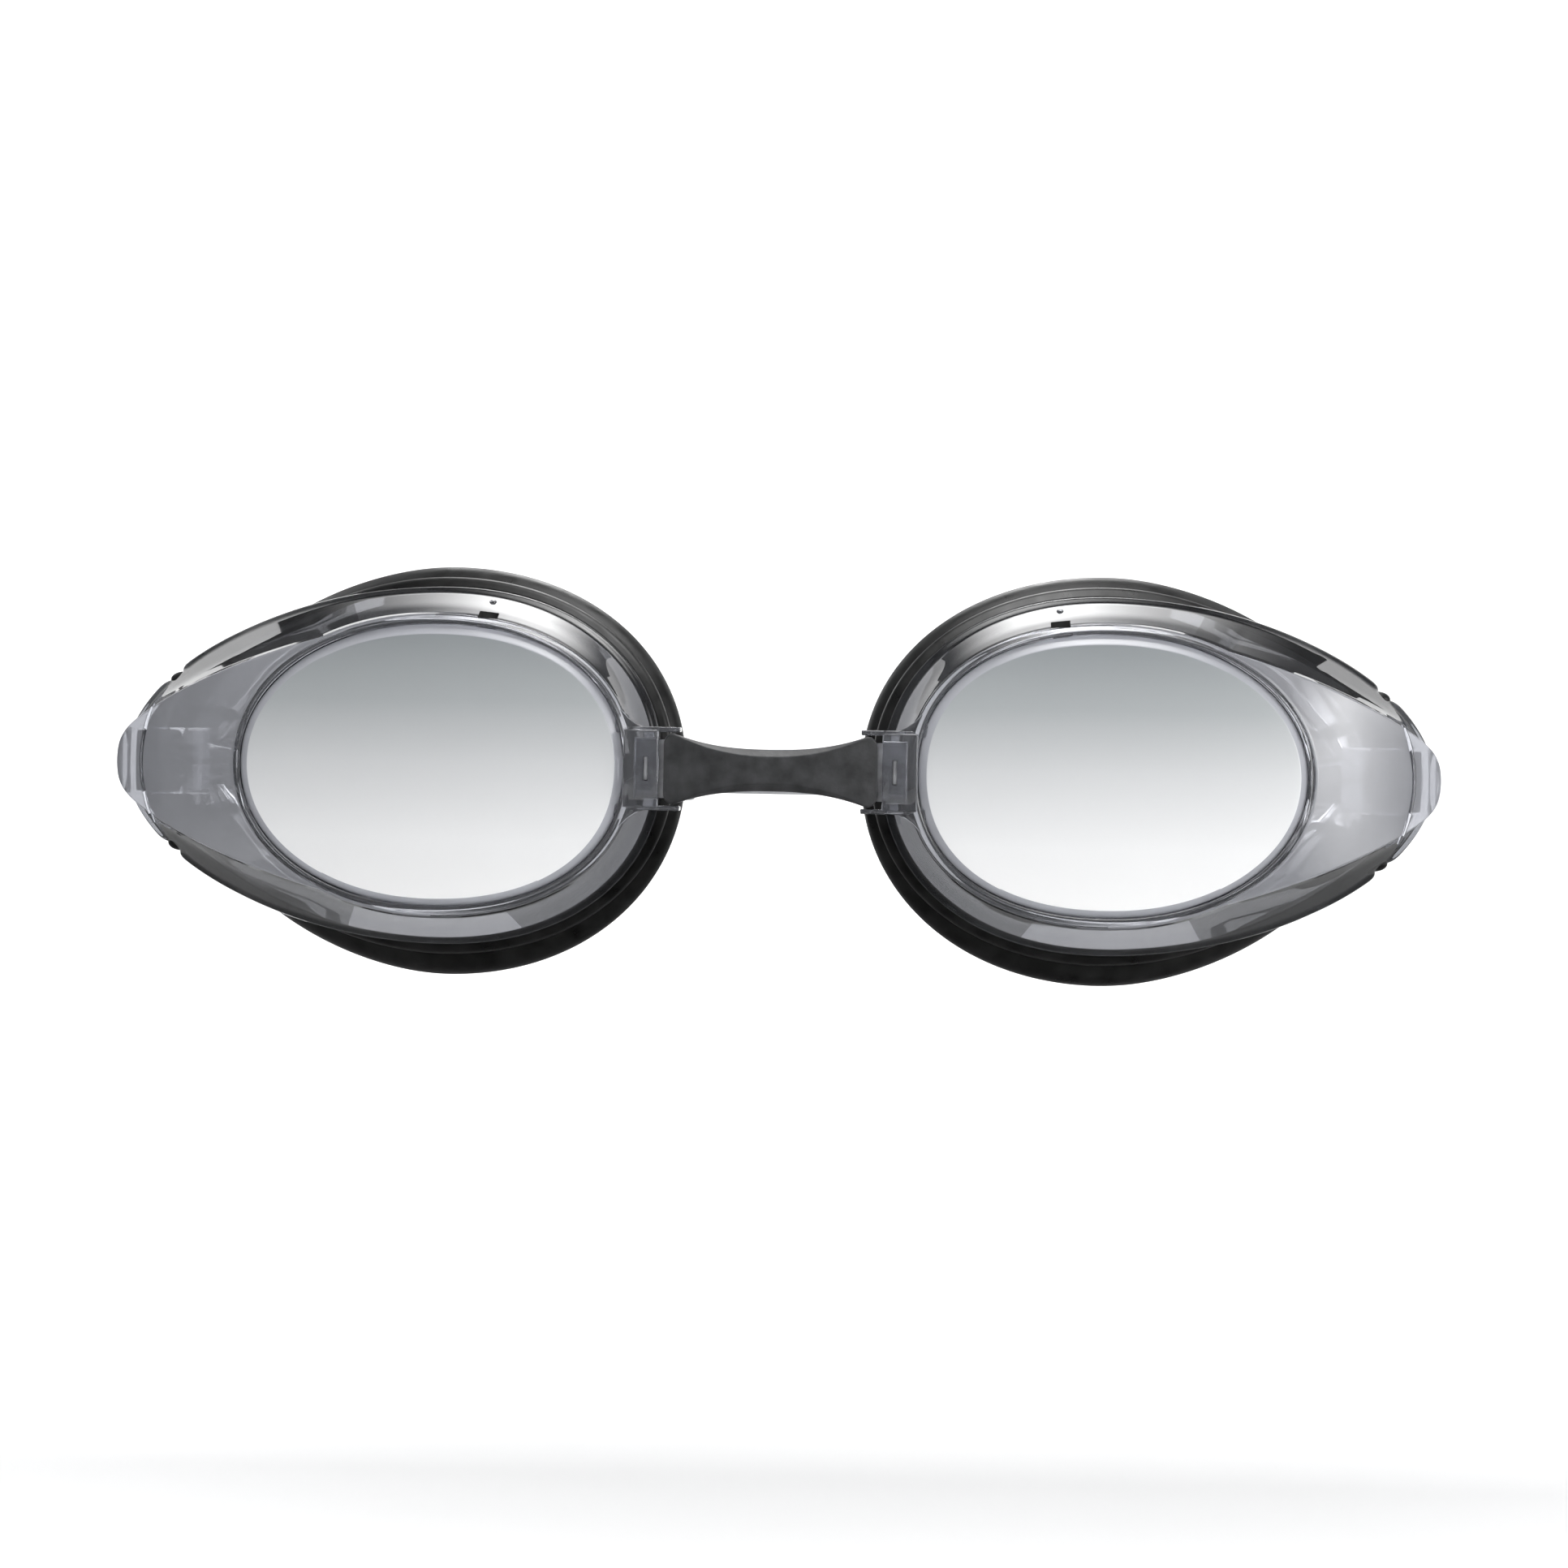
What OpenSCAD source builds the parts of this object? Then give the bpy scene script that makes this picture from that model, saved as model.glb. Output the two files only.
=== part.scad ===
// Swim goggles: two eye cups with set-in lenses and soft seals, joined by a flexible nose bridge,
// with a two-part silicone head strap that overlaps in a buckle behind the head.
// X runs across the face, -Y is the way the lenses look, Z is up.
// The origin is on the centre line, level with the lens centres, where the nose sides of the seals
// meet the face. Each cup is drawn on the +X side about its lens centre, and the other is its mirror.

/* [Cups] */
// Distance between the two lens centres
lens_pitch = 76.8; // [72:0.4:82]
// Half width of the lens face towards the nose
lens_half_w = 20.6; // [19:0.1:21.4]
// Half width of the lens face towards the temple
lens_temple_w = 21.2; // [20:0.1:21.8]
// Half height of the lens face
lens_half_h = 14.7; // [13.5:0.1:15.2]
// How far each lens turns out towards the temple, in degrees
lens_wrap = 8; // [5:1:10]
// Radius of the lens's spherical dome
dome_r = 110; // [90:5:160]
// Thickness of the lens
lens_t = 2; // [1.6:0.1:2.2]
// How far the seat of the seal turns back towards the temple, in degrees
seal_wrap = 16; // [14:1:17]
// Thickness of the temple arm's front panel
panel_t = 2.1; // [1.8:0.1:2.3]

/* [Seals] */
// Depth of the soft seal behind the cup
seal_depth = 5.5; // [4.5:0.1:6.5]
// How far the seal's lip reaches out past the cup above the eye
lip_up = 2.6; // [1.6:0.1:2.8]
// The same below the eye
lip_down = 3.8; // [1.6:0.1:4]

/* [Nose bridge] */
// Half length of the bridge's body
bridge_half = 12; // [11.6:0.1:12.1]
// Half height of its ends
bridge_end_h = 4; // [3.4:0.05:4]
// Half height of its middle
bridge_mid_h = 2.36; // [2:0.05:3]
// Thickness of the bridge
bridge_t = 2.6; // [2.2:0.1:2.8]

/* [Strap] */
// Width of the strap at the back of the head
strap_w = 6; // [5:0.1:6.4]
// Width of the strap at the temple
strap_eye_w = 7; // [6.4:0.1:7]
// Thickness of the strap
strap_t = 1.2; // [1:0.1:1.3]
// How far the strap reaches behind the face
strap_back = 170; // [150:1:185]
// Bend radius of the strap's rear corners
corner_r = 44; // [40:1:48]
// Radius of the bar that the strap's eye turns on
bar_r = 1.2; // [1:0.05:1.3]

/* [Hidden] */

// ---- outlines: [temple half width, nose half width, half height up, half height down,
// temple exponent, nose exponent, flat temple end]. Each is a superellipse on either side.
OPEN_END = 99;
END_BLEND = 40;
lens_face = [lens_temple_w, lens_half_w, lens_half_h, lens_half_h, 2.05, 2.25, OPEN_END];
panel_edge = [41, 22.9, 16.6, 16.6, 1.43, 2.2, 38.6];
cup_back = [38, 26, 20.6, 20.6, 1.89, 2.15, OPEN_END];
cup_mouth = [27.5, 24.2, 18.6, 18.6, 1.9, 2.15, OPEN_END];
seal_foot = [29.6, 26.1, 20.7, 20.7, 1.85, 2.12, OPEN_END];
seal_lip = [32, 26 + 2.55, 20.6 + lip_up, 20.6 + lip_down, 1.77, 2.09, OPEN_END];

function grown(o, d) = [o[0] + d, o[1] + d, o[2] + d, o[3] + d, o[4], o[5], o[6] + d];

function radius(o, t) =
    let (
        a = cos(t) >= 0 ? o[0] : o[1],
        b = sin(t) >= 0 ? o[2] : o[3],
        n = cos(t) >= 0 ? o[4] : o[5],
        r = pow(pow(abs(cos(t)) / a, n) + pow(abs(sin(t)) / b, n), -1 / n)
    )
    cos(t) > 0.5 ? pow(pow(r, -END_BLEND) + pow(o[6] / cos(t), -END_BLEND), -1 / END_BLEND) : r;

// ---- depths, as functions of the place u towards the temple and v up, from the lens centre
face_y0 = -10.5;
seal_y0 = 1.95;
arm_from = lens_half_w;
arm_bend = 0.016;
back_from = 24;
back_ease = 0.2;
brow_curve = 300;

function face_y(u, v) =
    face_y0 + tan(lens_wrap) * u + (u * u + v * v) / (2 * dome_r)
    + arm_bend * pow(max(0, u - arm_from), 2);
function seal_y(u, v) = seal_y0 + tan(seal_wrap) * u + v * v / brow_curve;
function back_y(u, v) = seal_y(u, v) - back_ease * max(0, u - back_from);

// Angles round the cup, closer together where the outline turns sharply at the temple.
STEPS = 72;
CROWD = 0.55;
angles = [for (i = [0:STEPS - 1]) let (t = 360 * i / STEPS) t - CROWD * sin(t) * 180 / PI];

// One ring of points on an outline. mix is 0 on the front surface and 1 on the back surface,
// 2 on the plane of the seal.
function depth(u, v, mix) =
    mix <= 1 ? face_y(u, v) * (1 - mix) + back_y(u, v) * mix
             : back_y(u, v) * (2 - mix) + seal_y(u, v) * (mix - 1);
function ring(o, mix, dy) = ring_between(o, o, 0, mix, dy);
function ring_between(o1, o2, share, mix, dy) =
    [for (t = angles)
        let (r = radius(o1, t) * (1 - share) + radius(o2, t) * share, u = r * cos(t), v = r * sin(t))
        [u, depth(u, v, mix) + dy, v]];

// A closed solid ring through rings of points, each joined to the next and the last to the first.
module ring_solid(rings) {
    k = len(rings);
    points = [for (r = rings) each r];
    faces = [
        for (j = [0:k - 1]) for (i = [0:STEPS - 1])
            let (
                a = j * STEPS + i, b = j * STEPS + (i + 1) % STEPS,
                c = ((j + 1) % k) * STEPS + (i + 1) % STEPS, d = ((j + 1) % k) * STEPS + i
            )
            each [[a, b, c], [a, c, d]]
    ];
    polyhedron(points = points, faces = faces, convexity = 6);
}

// A closed solid disc through rings of points, with a middle point at either end.
module disc_solid(rings, front_middle, back_middle) {
    k = len(rings);
    points = concat([for (r = rings) each r], [front_middle, back_middle]);
    front = k * STEPS;
    faces = concat(
        [for (j = [0:k - 2]) for (i = [0:STEPS - 1])
            let (a = j * STEPS + i, b = j * STEPS + (i + 1) % STEPS, c = b + STEPS, d = a + STEPS)
            each [[a, b, c], [a, c, d]]],
        [for (i = [0:STEPS - 1]) [front, (i + 1) % STEPS, i]],
        [for (i = [0:STEPS - 1]) [front + 1, (k - 1) * STEPS + i, (k - 1) * STEPS + (i + 1) % STEPS]]
    );
    polyhedron(points = points, faces = faces, convexity = 4);
}

module on_side(side) {
    if (side > 0)
        children();
    else
        mirror([1, 0, 0]) children();
}

module at_lens() {
    translate([lens_pitch / 2, 0, 0]) children();
}

// ---- lens
bevel_w = 1.2;
bevel_top = -0.35;
bevel_foot = 0.3;
seat_gap = 0.06;

module lens(side) {
    edge = grown(lens_face, bevel_w);
    core = grown(lens_face, -7);
    on_side(side) at_lens()
        disc_solid(
            [
                ring(core, 0, bevel_top),
                ring(lens_face, 0, bevel_top),
                ring(edge, 0, bevel_foot),
                ring(edge, 0, lens_t),
                ring(core, 0, lens_t)
            ],
            [0, face_y(0, 0) + bevel_top, 0],
            [0, face_y(0, 0) + lens_t, 0]
        );
}

// ---- cup frame
ledge_w = 0.9;
ledge_t = 1.2;
flange_w = 0.7;

module cup_shell() {
    seat = grown(lens_face, bevel_w + seat_gap);
    rim = grown(seat, 0.6);
    ledge = grown(lens_face, -ledge_w);
    at_lens()
        ring_solid([
            ring(seat, 0, 0.15),
            ring(grown(seat, 0.3), 0, -0.3),
            ring(rim, 0, -0.05),
            ring_between(rim, panel_edge, 0.25, 0, 0),
            ring_between(rim, panel_edge, 0.5, 0, 0),
            ring_between(rim, panel_edge, 0.75, 0, 0),
            ring(panel_edge, 0, 0),
            ring(grown(panel_edge, 0.2), 0.06, 0),
            ring_between(panel_edge, grown(cup_back, -flange_w), 0.45, 0.4, 0),
            ring(grown(cup_back, -flange_w), 0.78, 0),
            ring(grown(cup_back, -0.1), 0.85, 0),
            ring(cup_back, 0.9, 0),
            ring(cup_back, 1, 0),
            ring(cup_mouth, 1, 0),
            ring(ledge, 0, lens_t + seat_gap + ledge_t),
            ring(ledge, 0, lens_t + seat_gap),
            ring(seat, 0, lens_t + seat_gap)
        ]);
}

// The strap's hollow behind the temple panel, open to the back.
bar_u = 33;
bar_y = 7.6;
pocket_half_h = strap_eye_w / 2 + 0.3;
pocket_u = [26, 36.6];
pocket_lip_u = 29.9;
FAR_BACK = 20;

module strap_pocket() {
    inner = [for (i = [0:4]) let (u = pocket_u[0] + (pocket_u[1] - pocket_u[0]) * i / 4)
        [u, face_y(u, 0) + panel_t]];
    lip_y = back_y(pocket_lip_u, 0) - 0.2;
    at_lens() translate([0, 0, -pocket_half_h])
        linear_extrude(height = 2 * pocket_half_h)
            polygon(concat(inner, [[pocket_u[1], FAR_BACK], [pocket_lip_u, FAR_BACK], [pocket_lip_u, lip_y]]));
}

// The socket that holds the bridge's tongue: a box with two cheeks that flank the bridge's end.
socket_x = [12.6, 16.1];
socket_y = [-12.4, -7.9];
socket_half_h = 4.4;
cheek_z = [4.15, 4.7];
cheek_x = 10.2;
cheek_y = [-12.2, -8.6];
tongue_y = [-11.1, -9.5];
tongue_half_h = 3.3;
tongue_end_x = 15.2;
window_x = [13.75, 14.3];
window_half_h = 1.4;
slide_gap = 0.15;

module box(x, y, z) {
    translate([x[0], y[0], z[0]]) cube([x[1] - x[0], y[1] - y[0], z[1] - z[0]]);
}

module socket_body() {
    box(socket_x, socket_y, [-socket_half_h, socket_half_h]);
    for (s = [-1, 1])
        box([cheek_x, socket_x[1]], cheek_y, s > 0 ? cheek_z : [-cheek_z[1], -cheek_z[0]]);
}

module socket_hollow() {
    h = tongue_half_h + slide_gap;
    box([cheek_x - 1, tongue_end_x + slide_gap], [tongue_y[0] - slide_gap, tongue_y[1] + slide_gap], [-h, h]);
    box(window_x, [socket_y[0] - 1, tongue_y[0]], [-window_half_h, window_half_h]);
}

module frame(side) {
    on_side(side)
        difference() {
            union() {
                cup_shell();
                socket_body();
            }
            strap_pocket();
            socket_hollow();
        }
}

module strap_bar(side) {
    on_side(side) at_lens()
        translate([bar_u, bar_y, -pocket_half_h]) cylinder(r = bar_r, h = 2 * pocket_half_h, $fn = 48);
}

// ---- seal
contact = 0.06;

module seal(side) {
    inside = grown(cup_mouth, -0.2);
    on_side(side) at_lens()
        ring_solid([
            ring(inside, 1, contact),
            ring(seal_foot, 1, contact),
            ring(grown(seal_foot, 0.9), 1, 0.7),
            ring(grown(seal_foot, 1.15), 1.2, 1.5),
            ring(grown(seal_foot, 0.85), 1.4, 1.9),
            ring(grown(seal_lip, -0.3), 2, seal_depth - 1.6),
            ring(seal_lip, 2, seal_depth - 0.8),
            ring(grown(seal_lip, -0.6), 2, seal_depth),
            ring(grown(seal_lip, -2.8), 2, seal_depth + 0.2),
            ring(grown(seal_lip, -5.2), 2, seal_depth - 0.8),
            ring(grown(seal_lip, -5), 2, seal_depth - 1.6),
            ring(inside, 2, 1.4)
        ]);
}

// ---- nose bridge: a waisted plate bowed forwards, with a groove at each end for the tongue's bead
flex_x = 12.2;
flex_y = (tongue_y[0] + tongue_y[1]) / 2;
bead_r = 0.8;
bead_gap = 0.08;
bow_r = 46;
bow_front = -13.9;
end_round = 1.1;

function bridge_h(x) =
    bridge_mid_h + (bridge_end_h - bridge_mid_h) * pow(abs(x) / (bridge_half - end_round), 2.5);

module bridge_outline() {
    xs = [for (i = [0:24]) -bridge_half + end_round + 2 * (bridge_half - end_round) * i / 24];
    polygon(concat(
        [for (x = xs) [x, bridge_h(x)]],
        [for (k = [1:4]) let (a = 90 - 22.5 * k)
            [bridge_half - end_round + end_round * cos(a), bridge_end_h - end_round + end_round * sin(a)]],
        [for (k = [0:3]) let (a = -22.5 * k)
            [bridge_half - end_round + end_round * cos(a), -bridge_end_h + end_round + end_round * sin(a)]],
        [for (i = [24:-1:0]) [xs[i], -bridge_h(xs[i])]],
        [for (k = [1:4]) let (a = -90 - 22.5 * k)
            [-bridge_half + end_round + end_round * cos(a), -bridge_end_h + end_round + end_round * sin(a)]],
        [for (k = [0:3]) let (a = 180 - 22.5 * k)
            [-bridge_half + end_round + end_round * cos(a), bridge_end_h - end_round + end_round * sin(a)]]
    ));
}

module nose_bridge() {
    tall = 2 * bridge_end_h + 2;
    difference() {
        intersection() {
            rotate([90, 0, 0]) linear_extrude(height = 30) bridge_outline();
            translate([0, bow_front + bow_r, -tall / 2])
                difference() {
                    cylinder(r = bow_r, h = tall, $fn = 180);
                    translate([0, 0, -1]) cylinder(r = bow_r - bridge_t, h = tall + 2, $fn = 180);
                }
        }
        for (s = [-1, 1])
            translate([s * flex_x, flex_y, -tall / 2])
                cylinder(r = bead_r + bead_gap, h = tall, $fn = 48);
    }
}

// The bridge's end tongue: a bead at the bending line, a blade in the socket and a catch in its window.
module tongue(side) {
    on_side(side) {
        translate([flex_x, flex_y, -tongue_half_h])
            cylinder(r = bead_r, h = 2 * tongue_half_h, $fn = 48);
        box([flex_x, tongue_end_x], tongue_y, [-tongue_half_h, tongue_half_h]);
    }
}

// ---- strap: an eye on the bar, a straight side, a round rear corner and a straight rear end
lean = 3.5;
tail_x = -30;
layer_step = 2.2;
eye_gap = 0.08;
eye_skin = 0.1;
band_off = bar_r + eye_gap + eye_skin + strap_t / 2;
taper_from = 14;
taper_to = 60;

ARC_STEPS = 30;

// The strap's middle line as [x, y, direction its outer face looks in].
function strap_line(back, start_x, start_y) =
    let (
        cy = back - corner_r,
        cx = start_x + tan(lean) * (cy - corner_r * sin(lean) - start_y) - corner_r * cos(lean)
    )
    concat(
        [[start_x, start_y, -lean]],
        [for (i = [0:ARC_STEPS]) let (a = -lean + (90 + lean) * i / ARC_STEPS)
            [cx + corner_r * cos(a), cy + corner_r * sin(a), a]],
        [[tail_x, back, 90]]
    );
function beside(line, d) = [for (p = line) [p[0] + d * cos(p[2]), p[1] + d * sin(p[2])]];
function backwards(list) = [for (i = [len(list) - 1:-1:0]) list[i]];

module strap_outline(back, start_x, start_y) {
    line = strap_line(back, start_x, start_y);
    translate([0, 0, -strap_eye_w / 2]) linear_extrude(height = strap_eye_w)
        polygon(concat(beside(line, strap_t / 2), backwards(beside(line, -strap_t / 2))));
}

module taper_profile() {
    h0 = strap_eye_w / 2;
    h1 = strap_w / 2;
    rotate([90, 0, 90]) translate([0, 0, -120]) linear_extrude(height = 240)
        polygon([
            [-5, -h0], [taper_from, -h0], [taper_to, -h1], [strap_back + 20, -h1],
            [strap_back + 20, h1], [taper_to, h1], [taper_from, h0], [-5, h0]
        ]);
}

module strap(side, back) {
    bar_x = lens_pitch / 2 + bar_u;
    on_side(side)
        difference() {
            intersection() {
                union() {
                    strap_outline(back, bar_x + band_off, bar_y);
                    translate([bar_x, bar_y, -strap_eye_w / 2])
                        cylinder(r = bar_r + eye_gap + eye_skin + strap_t, h = strap_eye_w, $fn = 72);
                }
                taper_profile();
            }
            translate([bar_x, bar_y, -strap_eye_w])
                cylinder(r = bar_r + eye_gap, h = 2 * strap_eye_w, $fn = 72);
        }
}

// ---- rear buckle with a slot for each strap half, and a one-slot keeper for the loose tail
slot_gap = 0.18;
buckle_x = [16.5, 26.5];
buckle_wall = 1.1;
keeper_x = [-22.5, -18];
keeper_wall = 0.9;
rib_r = 0.45;

module sleeve(x, y, wall, slots) {
    h = strap_w / 2 + slot_gap + wall;
    difference() {
        union() {
            box(x, [y[0] - wall, y[1] + wall], [-h, h]);
            children();
        }
        for (s = slots)
            box([x[0] - 1, x[1] + 1], s, [-strap_w / 2 - slot_gap, strap_w / 2 + slot_gap]);
    }
}

function layer(y) = [y - strap_t / 2 - slot_gap, y + strap_t / 2 + slot_gap];

module rear_buckle() {
    front = layer(strap_back);
    back = layer(strap_back + layer_step);
    sleeve(buckle_x, [front[0], back[1]], buckle_wall, [front, back])
        for (k = [0:4])
            translate([buckle_x[0] + 1.9 + 1.8 * k, back[1] + buckle_wall, -strap_w / 2])
                cylinder(r = rib_r, h = strap_w, $fn = 32);
}

module strap_keeper() {
    slot = [layer(strap_back)[0], layer(strap_back + layer_step)[1]];
    sleeve(keeper_x, slot, keeper_wall, [slot]);
}

// ---- nodes
module left_frame() { color([0.55, 0.56, 0.6]) frame(-1); }
module right_frame() { color([0.55, 0.56, 0.6]) frame(1); }
module left_lens() { color([0.8, 0.81, 0.82]) lens(-1); }
module right_lens() { color([0.8, 0.81, 0.82]) lens(1); }
module left_seal() { color([0.06, 0.06, 0.07]) seal(-1); }
module right_seal() { color([0.06, 0.06, 0.07]) seal(1); }
module bridge() { color([0.16, 0.16, 0.17]) nose_bridge(); }
module left_bridge_tongue() { color([0.12, 0.12, 0.13]) tongue(-1); }
module right_bridge_tongue() { color([0.12, 0.12, 0.13]) tongue(1); }
module left_strap_bar() { color([0.45, 0.46, 0.5]) strap_bar(-1); }
module right_strap_bar() { color([0.45, 0.46, 0.5]) strap_bar(1); }
module left_strap() { color([0.12, 0.12, 0.13]) strap(-1, strap_back); }
module right_strap() { color([0.12, 0.12, 0.13]) strap(1, strap_back + layer_step); }
module buckle() { color([0.1, 0.1, 0.11]) rear_buckle(); }
module keeper() { color([0.14, 0.14, 0.15]) strap_keeper(); }

left_frame();
right_frame();
left_lens();
right_lens();
left_seal();
right_seal();
bridge();  // nose_bridge
left_bridge_tongue();
right_bridge_tongue();
left_strap_bar();
right_strap_bar();
left_strap();
right_strap();
buckle();  // rear_buckle
keeper();  // strap_keeper
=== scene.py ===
"""Swim goggles: the looks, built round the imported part.

Every piece is drawn for the +X side in millimetres, as the part is, and the other side is its mirror.
"""

import math

import bmesh
import bpy
import numpy as np
from mathutils import Matrix, Vector


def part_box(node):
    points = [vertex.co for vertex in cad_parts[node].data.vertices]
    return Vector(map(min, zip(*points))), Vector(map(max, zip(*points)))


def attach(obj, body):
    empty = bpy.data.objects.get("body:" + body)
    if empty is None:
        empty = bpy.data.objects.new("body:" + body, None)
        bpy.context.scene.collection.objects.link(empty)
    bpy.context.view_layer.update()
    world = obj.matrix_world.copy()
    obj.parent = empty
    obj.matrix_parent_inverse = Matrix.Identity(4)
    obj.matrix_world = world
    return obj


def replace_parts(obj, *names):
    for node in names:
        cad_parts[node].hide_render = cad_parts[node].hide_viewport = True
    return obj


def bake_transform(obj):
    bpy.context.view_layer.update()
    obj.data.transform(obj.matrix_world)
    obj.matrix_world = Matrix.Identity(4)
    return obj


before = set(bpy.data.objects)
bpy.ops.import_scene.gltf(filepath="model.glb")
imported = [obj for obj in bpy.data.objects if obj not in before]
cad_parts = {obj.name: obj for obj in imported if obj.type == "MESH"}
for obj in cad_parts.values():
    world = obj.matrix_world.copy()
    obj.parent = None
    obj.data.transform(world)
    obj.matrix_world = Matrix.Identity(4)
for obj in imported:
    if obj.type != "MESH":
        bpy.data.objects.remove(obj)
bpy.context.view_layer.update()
MM = 0.001
SIDES = (("left", -1), ("right", 1))

# ---------------------------------------------------------------- the part's own sizes, in mm
PITCH = 76.8  # between the lens centres
LENS_TEMPLE, LENS_NOSE, LENS_H, LENS_T = 21.2, 20.6, 14.7, 2.0  # half widths, half height, thickness
BEVEL_W, BEVEL_TOP, BEVEL_FOOT, SEAT_GAP = 1.2, -0.35, 0.3, 0.06
LENS_WRAP, DOME_R, FACE_Y0, ARM_FROM, ARM_BEND = 8.0, 110.0, -10.5, 20.6, 0.016  # the front surface
SEAL_Y0, SEAL_WRAP, BROW, BACK_FROM, BACK_EASE = 1.95, 16.0, 300.0, 24.0, 0.2  # the seal's plane
SEAL_DEPTH, PANEL_T = 5.5, 2.1
OPEN_END, END_BLEND, CROWD = 99.0, 40.0, 0.55
BAR, BAR_R = (PITCH / 2 + 33.0, 7.6), 1.2
EYE_GAP, EYE_SKIN = 0.08, 0.1  # the running fit round the bar, and the skin between it and the band
FLEX = (12.2, -10.3)  # where a cup turns on the bridge
STRAP_T, STRAP_W, EYE_W, STRAP_BACK, LAYER = 1.2, 6.0, 7.0, 170.0, 2.2
CORNER_R, LEAN, TAIL_X = 44.0, 3.5, -30.0

# outlines: temple and nose half widths, half heights up and down, temple and nose exponents, flat end
LENS_FACE = (LENS_TEMPLE, LENS_NOSE, LENS_H, LENS_H, 2.05, 2.25, OPEN_END)
MIRROR = (LENS_TEMPLE + 0.35, LENS_NOSE + 0.2, LENS_H + 0.1, LENS_H + 0.45, 2.05, 2.25, OPEN_END)
PANEL = (41.0, 22.9, 16.6, 16.6, 1.43, 2.2, 38.6)
CUP_BACK = (38.0, 26.0, 20.6, 20.6, 1.89, 2.15, OPEN_END)
CUP_MOUTH = (27.5, 24.2, 18.6, 18.6, 1.9, 2.15, OPEN_END)
SEAL_FOOT = (29.6, 26.1, 20.7, 20.7, 1.85, 2.12, OPEN_END)
SEAL_LIP = (32.0, 28.55, 23.2, 24.4, 1.77, 2.09, OPEN_END)

# points round each ring, crowded where the outline turns sharply at the temple
N = 320
STEPS = np.arange(N) * 2 * np.pi / N
T = STEPS - CROWD * np.sin(STEPS)


def ease(x, low, high):
    q = np.clip((x - low) / (high - low), 0, 1)
    return q * q * (3 - 2 * q)


def outline(o, grow=0.0):
    """Distance from the lens centre to an outline at each angle, with its sharpest turns softened."""
    t = np.arange(2880) * 2 * np.pi / 2880
    c, s = np.cos(t), np.sin(t)
    a = np.where(c >= 0, o[0], o[1]) + grow
    b = np.where(s >= 0, o[2], o[3]) + grow
    n = np.where(c >= 0, o[4], o[5])
    r = ((np.abs(c) / a) ** n + (np.abs(s) / b) ** n) ** (-1 / n)
    flat = (o[6] + grow) / np.maximum(c, 0.5)
    r = np.where(c > 0.5, (r**-END_BLEND + flat**-END_BLEND) ** (-1 / END_BLEND), r)
    turns = np.fft.rfft(r)
    k = np.arange(len(turns))
    fine = np.fft.irfft(turns * np.exp(-((k * math.radians(0.9)) ** 2) / 2), len(t))
    soft = np.fft.irfft(turns * np.exp(-((k * math.radians(5)) ** 2) / 2), len(t))
    away = np.abs((t + np.pi) % (2 * np.pi) - np.pi)
    r = fine + (soft - fine) * ease(away, math.radians(30), math.radians(62))
    return np.interp(T % (2 * np.pi), np.append(t, 2 * np.pi), np.append(r, r[0]))


def within(o, u, v, grow=0.0):
    """Whether a point is inside an outline, its flat end left aside."""
    a, n = (o[0], o[4]) if u >= 0 else (o[1], o[5])
    b = o[2] if v >= 0 else o[3]
    return (abs(u) / (a + grow)) ** n + (abs(v) / (b + grow)) ** n < 1


def face_y(u, v):
    return (
        FACE_Y0
        + math.tan(math.radians(LENS_WRAP)) * u
        + (u * u + v * v) / (2 * DOME_R)
        + ARM_BEND * np.maximum(0, u - ARM_FROM) ** 2
    )


def seal_y(u, v):
    return SEAL_Y0 + math.tan(math.radians(SEAL_WRAP)) * u + v * v / BROW


def back_y(u, v):
    return seal_y(u, v) - BACK_EASE * np.maximum(0, u - BACK_FROM)


def ring(r, mix, dy=0.0):
    """Points at distance r round the lens centre: mix 0 is the front, 1 the back, 2 the seal's plane."""
    r = np.broadcast_to(r, T.shape)
    u, v = r * np.cos(T), r * np.sin(T)
    if mix <= 1:
        y = face_y(u, v) * (1 - mix) + back_y(u, v) * mix
    else:
        y = back_y(u, v) * (2 - mix) + seal_y(u, v) * (mix - 1)
    return np.stack([PITCH / 2 + u, y + dy, v], 1)


def rounded(corners, closed=True):
    """Rings through a profile's corners, each (ring, radius of its rounding, steps round it)."""
    rings, count = [], len(corners)
    for k, (p, size, steps) in enumerate(corners):
        if size <= 0 or (not closed and k in (0, count - 1)):
            rings.append(p)
            continue
        before = corners[k - 1][0] - p
        after = corners[(k + 1) % count][0] - p
        la = np.linalg.norm(before, axis=1, keepdims=True) + 1e-9
        lb = np.linalg.norm(after, axis=1, keepdims=True) + 1e-9
        fa, fb = np.minimum(size, 0.42 * la) / la, np.minimum(size, 0.42 * lb) / lb
        start, end = p + before * fa, p + after * fb
        rings.append(p + before * fa * 1.15)
        for q in np.linspace(0, 1, steps + 1):
            rings.append((1 - q) ** 2 * start + 2 * q * (1 - q) * p + q * q * end)
        rings.append(p + after * fb * 1.15)
    return rings


def circle(centre, radius, count):
    turns = np.linspace(0, 2 * np.pi, count + 1)[:-1]
    return [(centre[0] + radius * math.cos(a), centre[1] + radius * math.sin(a)) for a in turns]


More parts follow.
